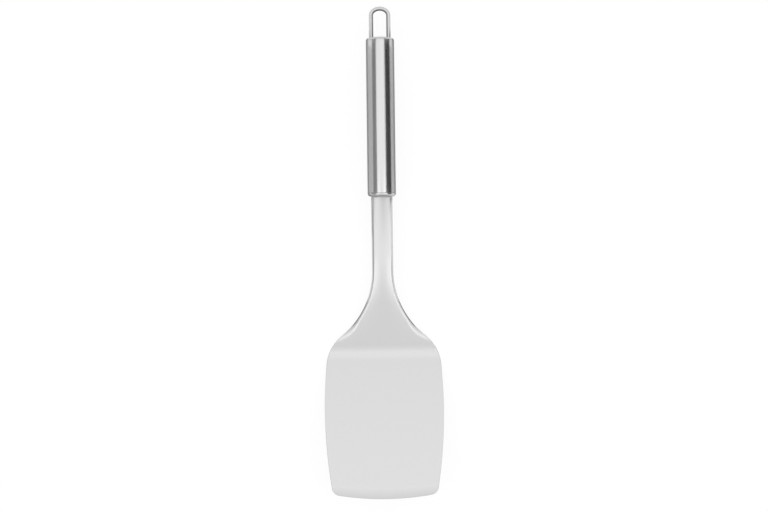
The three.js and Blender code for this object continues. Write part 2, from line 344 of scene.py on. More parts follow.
@dataclass(frozen=True)
class SteelFinish:
    """One finish of stainless steel.

    Attributes:
        name: Name of the material.
        colour: Colour of the steel seen square on.
        roughness: Roughness at the mean of the grain.
        grain: Direction of the tool marks.
        mark_width: Distance between tool marks in millimetres.
        mark_depth: Depth of the tool marks in millimetres.
        roughness_spread: How far the grain moves the roughness up and down.
        tone_spread: Share by which the grain darkens the steel at most.
        mark_length: Length of a tool mark in millimetres. Rings have no ends and need none.
        mark_range: Heights of the marks, out of 0 to 1, between which the roughness changes.
        dull_and_shade_colour: Colour where the piece's mark named dull is 1: a duller finish, and on
            some pieces painted shade.
        dull_roughness: Roughness there.
    """

    name: str
    colour: str
    roughness: float
    grain: Grain
    mark_width: float
    mark_depth: float
    roughness_spread: float
    tone_spread: float
    mark_length: float = 0.0
    mark_range: tuple[float, float] = (0.25, 0.75)
    dull_and_shade_colour: str | None = None
    dull_roughness: float = 0.5

    def tool_marks(self, tree: bpy.types.NodeTree, axis: HandleAxis) -> bpy.types.NodeSocket:
        """Draws the tool marks on Object coordinates, turned to the handle's axis.

        Args:
            tree: Tree of the material.
            axis: The handle's axis.

        Returns:
            Socket that gives the height of the marks, from 0 to 1.
        """
        place = {"vector_type": "TEXTURE", "Location": axis.origin, "Rotation": (axis.tilt, 0, 0)}
        if self.grain is Grain.LENGTHWISE:
            place["Scale"] = np.array([self.mark_width, self.mark_length, self.mark_width]) * MM
            kind, output = "ShaderNodeTexNoise", 0
            pattern = {"Scale": 1.0, "Detail": 3.0, "Roughness": 0.6}
        else:
            kind, output = "ShaderNodeTexWave", 1
            # A ring wave of scale 1 repeats after a tenth of pi.
            pattern = {"wave_type": "RINGS", "rings_direction": "Y", "Distortion": 1.5, "Detail": 2.0,
                       "Scale": 0.1 * math.pi / (self.mark_width * MM)}
        coordinates = add_node(tree, "ShaderNodeTexCoord").outputs["Object"]
        mapped = add_node(tree, "ShaderNodeMapping", place, {"Vector": coordinates}).outputs[0]
        return add_node(tree, kind, pattern, {"Vector": mapped}).outputs[output]

    def material(self, axis: HandleAxis) -> bpy.types.Material:
        """Builds the material: the marks give it grain, tone and relief.

        Args:
            axis: The handle's axis.

        Returns:
            The material.
        """
        material = bpy.data.materials.new(self.name)
        tree = fresh_tree(material)
        marks = self.tool_marks(tree, axis)
        rough = add_node(tree, "ShaderNodeMapRange",
                         {"From Min": self.mark_range[0], "From Max": self.mark_range[1],
                          "To Min": self.roughness - self.roughness_spread,
                          "To Max": self.roughness + self.roughness_spread},
                         {"Value": marks}).outputs[0]
        bright = linear(self.colour)
        dark = (*(c * (1 - self.tone_spread) for c in bright[:3]), 1.0)
        tone = add_node(tree, "ShaderNodeMix", {"data_type": "RGBA", 6: bright, 7: dark},
                        {0: marks}).outputs[2]
        # The dull mark gives a duller finish, and painted shade on the caps' faces, the loop's inside
        # and the shank behind the cap.
        if self.dull_and_shade_colour:
            dull_and_shade = add_node(tree, "ShaderNodeAttribute", {"attribute_name": "dull_and_shade"}).outputs["Fac"]
            tone = add_node(tree, "ShaderNodeMix", {"data_type": "RGBA", 7: linear(self.dull_and_shade_colour)},
                            {0: dull_and_shade, 6: tone}).outputs[2]
            rough = add_node(tree, "ShaderNodeMix", {"data_type": "FLOAT", 3: self.dull_roughness},
                             {0: dull_and_shade, 2: rough}).outputs[0]
        bump = add_node(tree, "ShaderNodeBump", {"Strength": 1.0, "Distance": self.mark_depth * MM},
                        {"Height": marks}).outputs[0]
        shader = add_node(tree, "ShaderNodeBsdfPrincipled", {"Metallic": 1.0},
                          {"Base Color": tone, "Roughness": rough, "Normal": bump})
        add_node(tree, "ShaderNodeOutputMaterial", links={"Surface": shader.outputs[0]})
        return material


# Grit marks are about 0.05 mm apart, too fine to show, so each finish draws them as wide as
# the picture needs.
BRUSHED_TUBE = SteelFinish(
    # Welded tube drawn through an abrasive belt: long straight streaks that split its reflections.
    "brushed_stainless_tube", "#d7d7d7", roughness=0.22, grain=Grain.LENGTHWISE,
    mark_width=0.55, mark_length=70.0, mark_depth=0.006, roughness_spread=0.05, tone_spread=0.16)
SATIN_SHEET = SteelFinish(
    # Cold-rolled sheet, stamped and then satin finished: an even, pale sheen with a faint grain,
    # a shade darker where the front edge is ground, and painted shade on the shank behind the cap.
    "satin_stainless_sheet", "#cfcfcf", roughness=0.33, grain=Grain.LENGTHWISE,
    mark_width=0.4, mark_length=30.0, mark_depth=0.0012, roughness_spread=0.04, tone_spread=0.05,
    dull_and_shade_colour="#bebebe", dull_roughness=0.36)
TURNED_CAP = SteelFinish(
    # Caps turned on a lathe and polished: fine rings that smear the light round the axis, and painted
    # shade: a darker tone on each face and its rounded corner.
    "turned_stainless_cap", "#cdcdcd", roughness=0.2, grain=Grain.TURNED,
    mark_width=0.45, mark_depth=0.001, roughness_spread=0.03, tone_spread=0.06,
    dull_and_shade_colour="#a0a0a0", dull_roughness=0.3)
DRAWN_WIRE = SteelFinish(
    # Drawn wire, bright outside, with painted shade on the side that faces into the loop.
    "polished_stainless_wire", "#cccccc", roughness=0.2, grain=Grain.LENGTHWISE,
    mark_width=0.4, mark_length=20.0, mark_depth=0.001, roughness_spread=0.03, tone_spread=0.06,
    dull_and_shade_colour="#8a8a8a", dull_roughness=0.42)


# Handle: tube and end caps


@dataclass(frozen=True)
class CapFace:
    """Outer face of a cap: part of a large sphere that runs smoothly into a rounded corner.

    Heights count from the end of the CAD tube.

    Attributes:
        radius: Outside of the cap.
        corner_radius: Rounded corner.
        crown_radius: Sphere of the face.
        rim: Height of the cap's rim, below 0 where the cap takes up some of the tube's length.
        face_steps: Steps across half the sphere.
        corner_steps: Steps along the corner.
    """

    radius: float
    corner_radius: float
    crown_radius: float
    rim: float
    face_steps: int = 24
    corner_steps: int = 14

    @property
    def corner(self) -> tuple[float, float]:
        """Centre of the corner's arc: its radius and its height."""
        return self.radius - self.corner_radius, self.rim

    @property
    def crown_centre(self) -> float:
        """Height of the sphere's centre."""
        reach = self.crown_radius - self.corner_radius
        return self.rim - math.sqrt(reach ** 2 - self.corner[0] ** 2)

    @property
    def height(self) -> float:
        """Height of the face's middle."""
        return self.crown_centre + self.crown_radius

    def height_at(self, radius: np.ndarray) -> np.ndarray:
        """Height of the spherical face at a distance from the axis."""
        return self.crown_centre + np.sqrt(self.crown_radius ** 2 - radius ** 2)

    def profile(self) -> np.ndarray:
        """Outlines the face from its middle to the seam.

        Returns:
            Radii and heights, one point per row.
        """
        edge = math.asin(self.corner[0] / (self.crown_radius - self.corner_radius))
        face = arc_points((0.0, self.crown_centre), self.crown_radius, 0, edge, self.face_steps)
        rounding = arc_points(self.corner, self.corner_radius, edge, np.pi / 2, self.corner_steps)
        return np.concatenate([face, rounding[1:]])


@dataclass
class Handle:
    """The hollow tube and the two caps that close it.

    Attributes:
        diameter: Outside of the tube.
        wall: Wall of the tube.
        length: Length of the CAD tube.
        end_round: Radius to which the tube's end edges are broken.
        seam_fill: How far each end of the tube reaches into the gap before its cap.
        lower_corner: Rounded corner of the cap at the blade's end.
        upper_corner: Rounded corner of the cap at the loop's end.
        crown_radius: Sphere of a cap's face.
        face_wall: Thickness of a cap's face.
        skirt_wall: Wall of the skirt inside the tube.
        skirt_length: Length of the skirt.
        skirt_clearance: Gap between skirt and bore.
        seam_gap: Gap between the tube's end and the cap.
        lower_seam: How far up the CAD tube the seam of the lower cap lies.
        lower_painted_shade: How dark the painted shade on the face of the lower cap is, from 0 to 1.
        upper_painted_shade: How dark the painted shade on the face of the upper cap is.
        painted_shade_fade: Shares of the rounded corner's width between which the painted shade fades
            out.
        segments: Steps round the axis.
        edge_steps: Steps round a broken edge.
    """

    diameter: float = 20.0
    wall: float = 0.8
    length: float = 108.5
    end_round: float = 0.12
    seam_fill: float = 0.2
    lower_corner: float = 2.34
    upper_corner: float = 1.7
    crown_radius: float = 200.0
    face_wall: float = 1.2
    skirt_wall: float = 0.8
    skirt_length: float = 6.0
    skirt_clearance: float = 0.2
    seam_gap: float = 0.3
    lower_seam: float = 0.9
    lower_painted_shade: float = 1.0
    upper_painted_shade: float = 0.5
    painted_shade_fade: tuple[float, float] = (0.3, 0.9)
    segments: int = 192
    edge_steps: int = 5

    @property
    def radius(self) -> float:
        """Outer radius of tube and caps."""
        return self.diameter / 2

    @property
    def skirt_radius(self) -> float:
        """Outside of a cap's skirt."""
        return self.radius - self.wall - self.skirt_clearance

    @property
    def skirt_inside(self) -> float:
        """Inside of a cap's skirt."""
        return self.skirt_radius - self.skirt_wall

    @property
    def lower_face(self) -> CapFace:
        """Face of the cap at the blade's end."""
        rim = self.seam_gap - self.lower_seam
        return CapFace(self.radius, self.lower_corner, self.crown_radius, rim)

    @property
    def upper_face(self) -> CapFace:
        """Face of the cap at the loop's end."""
        return CapFace(self.radius, self.upper_corner, self.crown_radius, self.seam_gap)

    def tube_profile(self) -> np.ndarray:
        """Outlines the tube's wall: out along the end, along the outside and back down the bore.

        Returns:
            Radii and heights of a closed line, one point per row.
        """
        r, e, bore = self.radius, self.end_round, self.radius - self.wall
        first, last = self.lower_seam - self.seam_fill, self.length + self.seam_fill
        low = arc_points((r - e, first + e), e, np.pi, np.pi / 2, self.edge_steps)
        high = arc_points((r - e, last - e), e, np.pi / 2, 0, self.edge_steps)
        return np.concatenate([[[bore, first]], low, high, [[bore, last]]])

    def cap_profile(self, face: CapFace) -> np.ndarray:
        """Outlines half of a cap's section, from the middle of its face to the middle of its inside.

        Args:
            face: Outer face of the cap.

        Returns:
            Radii and heights, one point per row.
        """
        under = face.height - self.face_wall
        inside = [[self.skirt_radius, face.rim], [self.skirt_radius, -self.skirt_length],
                  [self.skirt_inside, -self.skirt_length], [self.skirt_inside, under], [0, under]]
        return np.concatenate([face.profile(), inside])

    def build_tube(self) -> Surface:
        """Turns the tube's wall round the axis.

        Returns:
            The closed tube.
        """
        surface = Surface()
        numbers = surface.add_points(turned(self.tube_profile(), self.segments))
        surface.add_quads(numbers[:, ::-1], wrap_rows=True, wrap_columns=True)
        return surface

    def build_cap(self, is_upper: bool) -> Surface:
        """Turns a cap round the axis, for one end of the tube.

        The painted shade on the face fades out along the rounded corner.

        Args:
            is_upper: True at the loop's end, False at the blade's end.

        Returns:
            The closed cap. The lower one is the upper one turned half round the X axis.
        """
        face = self.upper_face if is_upper else self.lower_face
        profile = self.cap_profile(face)
        grid = turned(profile, self.segments)
        grid = grid + (0, self.length, 0) if is_upper else grid * (1, -1, -1)
        surface = Surface()
        numbers = surface.add_points(grid)
        surface.add_quads(numbers, wrap_columns=True)
        # Painted shade on the cap's face, fading out along the rounded corner.
        round_corner = (profile[:, :1] - face.corner[0]) / face.corner_radius
        painted_face_shade = self.upper_painted_shade if is_upper else self.lower_painted_shade
        painted_face_shade = painted_face_shade * (1 - smoothstep(round_corner, *self.painted_shade_fade))
        surface.marks["dull_and_shade"] = np.broadcast_to(painted_face_shade, numbers.shape)
        return surface

    def dress(self, axis: HandleAxis) -> None:
        """Makes the tube and both caps and gives them their finishes.

        Args:
            axis: Axis on which they are laid.
        """
        turned_cap = TURNED_CAP.material(axis)
        tube = self.build_tube().to_piece("brushed_tube", axis, BRUSHED_TUBE.material(axis))
        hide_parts("handle_tube")
        for node, is_upper in (("lower_end_cap", False), ("upper_end_cap", True)):
            cap = self.build_cap(is_upper).to_piece(f"turned_{node}", axis, turned_cap)
            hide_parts(node)


# Hanging loop


@dataclass
class HangingLoop:
    """The bent wire at the end of the handle, with the welds at its feet.

    Attributes:
        handle: The handle that it stands in.
        wire: Diameter of the wire.
        reach: Height of the wire's highest centre above the cap.
        arch: Rise of the half ellipse at the top.
        insert: Length of leg inside the cap.
        skirt_clearance: Gap between a leg and the cap's skirt.
        painted_shade_side: Cosines of the turn from the loop's inside between which the painted shade
            sets in.
        weld: Size of the fillet at the foot of each leg.
        weld_dull: How far the fillets take the duller finish, from 0 to 1.
        leg_points: Points along a leg.
        bend_points: Points along the half ellipse.
        sides: Steps round the wire and round its welds.
        weld_points: Points up a fillet.
    """

    handle: Handle
    wire: float = 3.0
    reach: float = 21.0
    arch: float = 4.8
    insert: float = 6.0
    skirt_clearance: float = 0.55
    painted_shade_side: tuple[float, float] = (0.1, 0.5)
    weld: float = 0.6
    weld_dull: float = 0.35
    leg_points: int = 40
    bend_points: int = 120
    sides: int = 32
    weld_points: int = 9

    @property
    def leg_offset(self) -> float:
        """Distance of each leg from the handle's axis."""
        return self.handle.skirt_inside - self.skirt_clearance - self.wire / 2

    @property
    def cap_top(self) -> float:
        """Height of the upper cap's middle along the axis."""
        return self.handle.length + self.handle.upper_face.height

    def centre_line(self) -> np.ndarray:
        """Walks up one leg, over half an ellipse and down the other leg.

        Returns:
            Points x and y of the wire's middle, one per row.
        """
        spring = self.cap_top + self.reach - self.arch
        leg = np.linspace(self.cap_top - self.insert, spring, self.leg_points, endpoint=False)
        angle = np.linspace(np.pi, 0, self.bend_points)
        bend = np.stack([self.leg_offset * np.cos(angle), spring + self.arch * np.sin(angle)], -1)
        left = np.stack([np.full_like(leg, -self.leg_offset), leg], -1)
        return np.concatenate([left, bend, left[::-1] * (-1, 1)])

    def build(self) -> Surface:
        """Carries the wire's round section along the centre line.

        At the angle a the section reaches r cos a away from the inside of the loop and r sin a
        upwards. The ends close to a point inside the cap.

        Returns:
            The wire, with painted shade marked on the side that faces into the loop.
        """
        line = self.centre_line()
        line = np.concatenate([line[:1], line, line[-1:]])
        run = unit(np.gradient(line[1:-1], axis=0))
        run = np.concatenate([run[:1], run, run[-1:]])
        outward = np.stack([-run[:, 1], run[:, 0], np.zeros(len(run))], -1)
        radius = np.full(len(line), self.wire / 2)
        radius[[0, -1]] = 0
        angle = np.linspace(0, 2 * np.pi, self.sides, endpoint=False)
        middle = np.concatenate([line, np.zeros((len(line), 1))], -1)
        away = outward[:, None] * np.cos(angle)[:, None] + np.array([0, 0, 1]) * np.sin(angle)[:, None]
        surface = Surface()
        numbers = surface.add_points(middle[:, None] + radius[:, None, None] * away)
        surface.add_quads(numbers[:, ::-1], wrap_columns=True)
        # Painted shade on the side of the wire that faces into the loop.
        inside = smoothstep(-np.cos(angle), *self.painted_shade_side)
        surface.marks["dull_and_shade"] = np.broadcast_to(inside, numbers.shape)
        return surface

    def build_weld(self, side: int) -> Surface:
        """Carries a hollow fillet round the foot of one leg.

        At the angle p the fillet stands w (1 - sin p) away from the wire and w (1 - cos p) above
        the cap's face, so it leaves the face level and meets the wire upright.

        Args:
            side: -1 for the left leg, 1 for the right one.

        Returns:
            The fillet, with its edges just inside the steel.
        """
        turn = np.linspace(0, 2 * np.pi, self.sides, endpoint=False)
        p = np.linspace(0, np.pi / 2, self.weld_points)[:, None]
        radius = self.wire / 2 + self.weld * (1 - np.sin(p)) - WELD_SINK
        x = side * self.leg_offset + radius * np.cos(turn)
        z = radius * np.sin(turn)
        face = self.handle.upper_face
        foot = self.handle.length + face.height_at(np.minimum(np.hypot(x, z), face.corner[0]))
        y = foot + self.weld * (1 - np.cos(p)) - WELD_SINK
        surface = Surface()
        numbers = surface.add_points(np.stack([x, y, z], -1))
        surface.add_quads(numbers, wrap_columns=True)
        surface.marks["dull_and_shade"] = np.full(numbers.shape, self.weld_dull)
        return surface

    def dress(self, axis: HandleAxis) -> None:
        """Makes the wire and its welds and gives them their finish.

        Args:
            axis: Axis on which they are laid.
        """
        material = DRAWN_WIRE.material(axis)
        wire = self.build().to_piece("loop_wire", axis, material)
        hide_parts("hanging_loop")
        for name, side in (("left", -1), ("right", 1)):
            weld = self.build_weld(side).to_piece(f"loop_weld_{name}", axis, material)


# Blade and shank


@dataclass
class Stamping:
    """Blade, neck and shank, stamped in one from sheet steel.

    Attributes:
        handle: The handle that holds the tang.
        sheet: Thickness of the sheet.
        edge_thickness: Thickness of the ground front edge.
        bevel_width: Width of the grinding behind the front edge.
        edge_round: How far the broken edges round inwards from the outline.
        tang_length: Length inside the handle.
        shank_straight: Straight length in front of the lower cap.
        bow_length: Length of the bow that turns the shank down.
        bow_angle: Turn of that bow in degrees.
        neck_length: Straight length between bow and fold.
        fold_radius: Inner radius of the fold.
        fold_angle: Turn of the fold in degrees.
        blade_length: Length from the fold to the front.
        tang_clearance: Gap between the shank and the cap's skirt.
        shank_length: Length of even width in front of the cap.
        flare_radius: Hollow curve at the sides of the neck.
        shoulder_radius: Round shoulder beside the fold.
        blade_width: Greatest width of the blade.
        widest_from_fold: Where the blade is widest.
        side_radius: Bowed side of the blade.
        corner_radius: Front corner.
        front_radius: Bowed front edge.
        crown_lean: Lean of the arched section where its rim begins, in degrees.
        rim_lean: Lean of the turned-down rim in degrees.
        rim_bend_radius: Inner radius of the rim's bend.
        rim_length: Straight length of the rim.
        rim_fade_length: Length over which the rim flattens out towards the blade.
        rim_end_before_fold: Where the rim has gone, before the fold.
        rim_softening: How much longer the rim's bend grows as the rim flattens out.
        rim_shortening: Share of the rim's straight length that goes into that bend.
        least_slant: Sideways part of the outline's normal below which the rim stretches no further.
        weld: Size of the fillets where the shank leaves the lower cap.
        weld_inner: Shares of the shank's half width between which a fillet sets in.
        weld_outer: Shares of it between which the fillet runs out.
        painted_patch_length: Length of shank behind the cap that carries painted shade, a dark patch
            standing in for a dark reflection.
        painted_patch_shift: How far right of the shank's middle that painted patch lies.
        painted_patch_reach: Half the patch's width, as a share of the shank's half width.
        painted_patch_slope: How fast the patch sets in from there towards its middle.
        outline_points: Points along shank, flare, shoulder, side and front corner.
        section_points: Points across half the arch, the rim's bend and the straight rim.
        edge_points: Points round a broken edge.
        weld_points: Points up a fillet.
    """

    handle: Handle
    sheet: float = 1.2
    edge_thickness: float = 0.5
    bevel_width: float = 7.0
    edge_round: float = 0.35
    tang_length: float = 24.0
    shank_straight: float = 38.1
    bow_length: float = 38.0
    bow_angle: float = 14.0
    neck_length: float = 30.4
    fold_radius: float = 20.0
    fold_angle: float = 30.0
    blade_length: float = 99.3
    tang_clearance: float = 0.65
    shank_length: float = 52.5
    flare_radius: float = 62.0
    shoulder_radius: float = 28.8
    blade_width: float = 84.39
    widest_from_fold: float = 33.5
    side_radius: float = 345.0
    corner_radius: float = 6.0
    front_radius: float = 195.0
    crown_lean: float = 12.0
    rim_lean: float = 80.0
    rim_bend_radius: float = 1.0
    rim_length: float = 1.4
    rim_fade_length: float = 19.0
    rim_end_before_fold: float = 1.0
    rim_softening: float = 3.5
    rim_shortening: float = 0.75
    least_slant: float = 0.1
    weld: float = 1.1
    weld_inner: tuple[float, float] = (0.1, 0.5)
    weld_outer: tuple[float, float] = (0.75, 1.0)
    painted_patch_length: float = 40.0
    painted_patch_shift: float = 1.0
    painted_patch_reach: float = 0.5
    painted_patch_slope: float = 2.4
    outline_points: tuple[int, ...] = (72, 56, 56, 104, 16)
    section_points: tuple[int, int, int] = (26, 11, 4)
    edge_points: int = 9
    weld_points: int = 13

    def __post_init__(self) -> None:
        """Works out where the parts of the side profile and the arcs of the outline begin and end."""
        fold = math.radians(self.fold_angle)
        self.face = self.tang_length + self.handle.lower_face.height
        lengths = [self.face + self.shank_straight, self.bow_length, self.neck_length,
                   (self.fold_radius + self.sheet) * fold, self.blade_length]
        turns = [0.0, -math.radians(self.bow_angle), 0.0, fold, 0.0]
        self.profile_parts = list(zip(lengths, turns))
        self.fold_start, self.fold_end, self.front_end = np.cumsum(lengths)[2:]
        self.flare_start = self.face + self.shank_length
        self.shank_half = self.handle.skirt_inside - self.tang_clearance
        self.rim_end = self.fold_start - self.rim_end_before_fold
        self.flare = np.array([self.shank_half + self.flare_radius, self.flare_start])
        self.side = np.array([self.blade_width / 2 - self.side_radius,
                              self.fold_end + self.widest_from_fold])
        self.front = np.array([0.0, self.front_end - self.front_radius])
        self.shoulder = self.meet(self.flare, self.flare_radius + self.shoulder_radius,
                                  self.side, self.side_radius - self.shoulder_radius)
        self.corner = self.meet(self.front, self.front_radius - self.corner_radius,
                                self.side, self.side_radius - self.corner_radius)
        self.corner_end = self.front + self.front_radius * unit(self.corner - self.front)
        self.tang_lift = -(self.shank_section()[-1, 1] + self.sheet) / 2

    @staticmethod
    def meet(a: np.ndarray, from_a: float, b: np.ndarray, from_b: float) -> np.ndarray:
        """Finds the point at given distances from two centres that lies further forward.

        Args:
            a: First centre.
            from_a: Distance from it.
            b: Second centre.
            from_b: Distance from that one.

        Returns:
            The point.
        """
        span = np.linalg.norm(b - a)
        along = (span ** 2 + from_a ** 2 - from_b ** 2) / (2 * span)
        across = math.sqrt(from_a ** 2 - along ** 2)
        direction = (b - a) / span
        normal = np.array([-direction[1], direction[0]])
        return a + along * direction + math.copysign(across, normal[1]) * normal

    def rim_share(self, distance: np.ndarray) -> np.ndarray:
        """How much of the rim is turned down: 1 on the shank, 0 on the blade."""
        return 1 - smoothstep(distance, self.rim_end - self.rim_fade_length, self.rim_end)

    def crown_share(self, distance: np.ndarray) -> np.ndarray:
        """How much of the arch is left: 1 on the shank, 0 at the fold."""
        return 1 - smoothstep(distance, self.flare_start, self.fold_start)

    def outline(self) -> tuple[np.ndarray, np.ndarray]:
        """Follows the right half of the outline from the tang to the front corner.

        It is a straight shank, a hollow flare, a round shoulder, a bowed side and a front corner,
        arcs that touch each other. A point of an arc lies at its centre plus its radius times
        its direction.

        Returns:
            Half widths and distances along the profile, and the outward normals there, each with
            one point per row.
        """
        shank_points, *arc_counts = self.outline_points
        straight = np.linspace(0, self.flare_start, shank_points, endpoint=False)
        points = [np.stack([np.full_like(straight, self.shank_half), straight], -1)]
        normals = [np.broadcast_to((1.0, 0.0), (len(straight), 2))]
        joints = [self.flare - (self.flare_radius, 0),
                  self.flare + self.flare_radius * unit(self.shoulder - self.flare),
                  self.side + self.side_radius * unit(self.shoulder - self.side),
                  self.side + self.side_radius * unit(self.corner - self.side),
                  self.corner_end]
        arcs = [(self.flare, self.flare_radius, -1), (self.shoulder, self.shoulder_radius, 1),
                (self.side, self.side_radius, 1), (self.corner, self.corner_radius, 1)]
        for (centre, radius, sense), count, start, end in zip(arcs, arc_counts, joints, joints[1:]):
            first, last = (np.arctan2(*(sense * (p - centre))[::-1]) for p in (start, end))
            angle = np.linspace(first, last, count, endpoint=centre is self.corner)
            normal = np.stack([np.cos(angle), np.sin(angle)], -1)
            points.append(centre + sense * radius * normal)
            normals.append(normal)
        return np.concatenate(points), np.concatenate(normals)

    def profile(self, distance: np.ndarray) -> tuple[np.ndarray, np.ndarray, np.ndarray]:
        """Follows the underside's line from the tang's end towards the front.

        Straight parts and arcs are walked one after the other, each up to its own length.

        Args:
            distance: Distances along the line.

        Returns:
            Places y and z, and the pitch, which is positive where the line rises forwards.
        """
        y = np.full_like(distance, self.tang_length)
        z = np.full_like(distance, self.tang_lift)
        pitch = np.zeros_like(distance)
        ahead = distance
        for length, turn in self.profile_parts:
            run = np.clip(ahead, 0, length)
            bend = turn * run / length
            along, across = arc_travel(run, pitch, bend)
            y, z, pitch, ahead = y - along, z + across, pitch + bend, ahead - run
        return y - ahead * np.cos(pitch), z + ahead * np.sin(pitch), pitch

    def section(self, distance: np.ndarray, half_width: np.ndarray, normal_x: np.ndarray,
                inset: float) -> tuple[np.ndarray, np.ndarray]:
        """Draws the underside's section at each row, from its left edge to its right one.

        Each half is a shallow arch, then the arc of the rim's bend and the straight rim. Along the
        arch the lean grows so that its sine is even, and z = -x tan(lean / 2). The bend grows
        longer and softer as the rim flattens out. The rim runs along the outline, so it is
        stretched sideways where the outline slants.

        Args:
            distance: Distance of each row along the profile.
            half_width: Half width of each row.
            normal_x: Sideways part of the outline's normal at each row.
            inset: How much shorter the rim is where it is turned down.

        Returns:
            Places x and z, rows by columns.
        """
        share = self.rim_share(distance)[:, None]
        rim = math.radians(self.rim_lean) * share
        crown = np.minimum(rim, math.radians(self.crown_lean) * self.crown_share(distance)[:, None])
        stretch = 1 + share * (1 / np.maximum(normal_x, self.least_slant)[:, None] - 1)
        bend_arc = self.rim_bend_radius * math.radians(self.rim_lean - self.crown_lean)
        bend_arc = bend_arc + self.rim_softening * (1 - share)
        straight = self.rim_length * (1 - self.rim_shortening * (1 - share))
        bend_width = arc_travel(bend_arc, crown, rim - crown)[0]
        reach = half_width[:, None] - stretch * (
            self.sheet * np.sin(rim) + bend_width + straight * np.cos(rim))
        c, b, r = (np.linspace(0, 1, count) for count in self.section_points)
        lean = np.arcsin(np.sin(crown) * c)
        x, z = [reach * c], [-reach * c * np.tan(lean / 2)]
        along, across = arc_travel(bend_arc * b[1:], crown, (rim - crown) * b[1:])
        x.append(x[0][:, -1:] + stretch * along)
        z.append(z[0][:, -1:] - across)
        down = r[1:] * (straight - inset * share)
        x.append(x[1][:, -1:] + stretch * down * np.cos(rim))
        z.append(z[1][:, -1:] - down * np.sin(rim))
        x, z = np.concatenate(x, 1), np.concatenate(z, 1)
        return np.concatenate([-x[:, :0:-1], x], 1), np.concatenate([z[:, :0:-1], z], 1)

    def shank_section(self) -> np.ndarray:
        """Points x and z of the shank's section, one per row."""
        x, z = self.section(np.zeros(1), np.array([self.shank_half]), np.ones(1), 0.0)
        return np.stack([x[0], z[0]], -1)

    def underside(self) -> tuple[np.ndarray, np.ndarray, np.ndarray]:
        """Works out the underside as far as its edges begin to round.

        Each row is a section at one point of the outline, moved inwards by the edge's rounding.
        The last rows bow forwards by b (1 - (x / edge)^2), so that the front edge is an arc.

        Returns:
            Points, rows by columns, the sheet's thickness at each row, and the mark at each point for
            a duller finish where the front edge is ground, and for painted shade along the shank's
            middle behind the cap.
        """
        points, normals = self.outline()
        share = self.rim_share(points[:, 1])
        half_width, distance = (points - self.edge_round * (1 - share)[:, None] * normals).T
        x, z = self.section(distance, half_width, normals[:, 0], self.edge_round)
        begin, end = self.side[1], distance[-1]
        front = self.front_end - self.edge_round - end
        bow = np.clip((distance - begin) / (end - begin), 0, 1) ** 2 * front
        run = distance[:, None] + bow[:, None] * (1 - (x / x[:, -1:]) ** 2)
        y, height, pitch = self.profile(run)
        grid = np.stack([x, y + z * np.sin(pitch), height + z * np.cos(pitch)], -1)
        behind_edge = np.clip((self.corner_end[1] - distance) / self.bevel_width, 0, 1)
        thickness = self.edge_thickness + (self.sheet - self.edge_thickness) * behind_edge
        # Painted shade: a dark patch along the shank's middle behind the cap, standing in for a dark
        # reflection.
        painted_patch_run = 1 - smoothstep(distance, self.face, self.face + self.painted_patch_length)
        from_middle = np.abs(x - self.painted_patch_shift) / self.shank_half
        painted_patch = painted_patch_run[:, None] * np.clip(self.painted_patch_slope * (self.painted_patch_reach - from_middle), 0, 1)
        return grid, thickness, np.maximum(1 - behind_edge[:, None], painted_patch)

    def build(self) -> Surface:
        """Gives the underside its thickness and rounds its edges all the way round.

        The top is the underside plus the thickness times the normal. Round the rim of the two
        grids runs a half ellipse: at the angle p it stands e cos p outside the middle of the
        sheet and (t / 2) sin p above it.

        Returns:
            The closed sheet.
        """
        lower, thickness, dull_and_shade = self.underside()
        normal = unit(np.cross(np.gradient(lower, axis=0), np.gradient(lower, axis=1)))
        surface = Surface()
        top = surface.add_points(lower + normal * thickness[:, None, None])
        under = surface.add_points(lower)
        surface.add_quads(top)
        surface.add_quads(under[:, ::-1])

        def rim(grid: np.ndarray) -> np.ndarray:
            """Reads a grid round its rim, counter-clockwise seen from above."""
            return np.concatenate([grid[:, 0], grid[-1, 1:], grid[-2::-1, -1], grid[0, -2:0:-1]])

        up = rim(normal)
        half = rim(np.broadcast_to(thickness[:, None, None], (*normal.shape[:2], 1))) / 2
        middle = rim(lower) + up * half
        along = np.roll(middle, -1, axis=0) - np.roll(middle, 1, axis=0)
        outward = unit(np.cross(along, up))
        p = np.linspace(np.pi / 2, -np.pi / 2, self.edge_points)[1:-1, None, None]
        edge = middle + self.edge_round * np.cos(p) * outward + half * np.sin(p) * up
        numbers = np.concatenate([rim(top)[None], surface.add_points(edge), rim(under)[None]])
        surface.add_quads(numbers, wrap_columns=True)
        edge_dull_and_shade = np.broadcast_to(rim(dull_and_shade[..., None])[:, 0], edge.shape[:2])
        surface.marks["dull_and_shade"] = np.concatenate([part.ravel() for part in (dull_and_shade, dull_and_shade, edge_dull_and_shade)])
        return surface

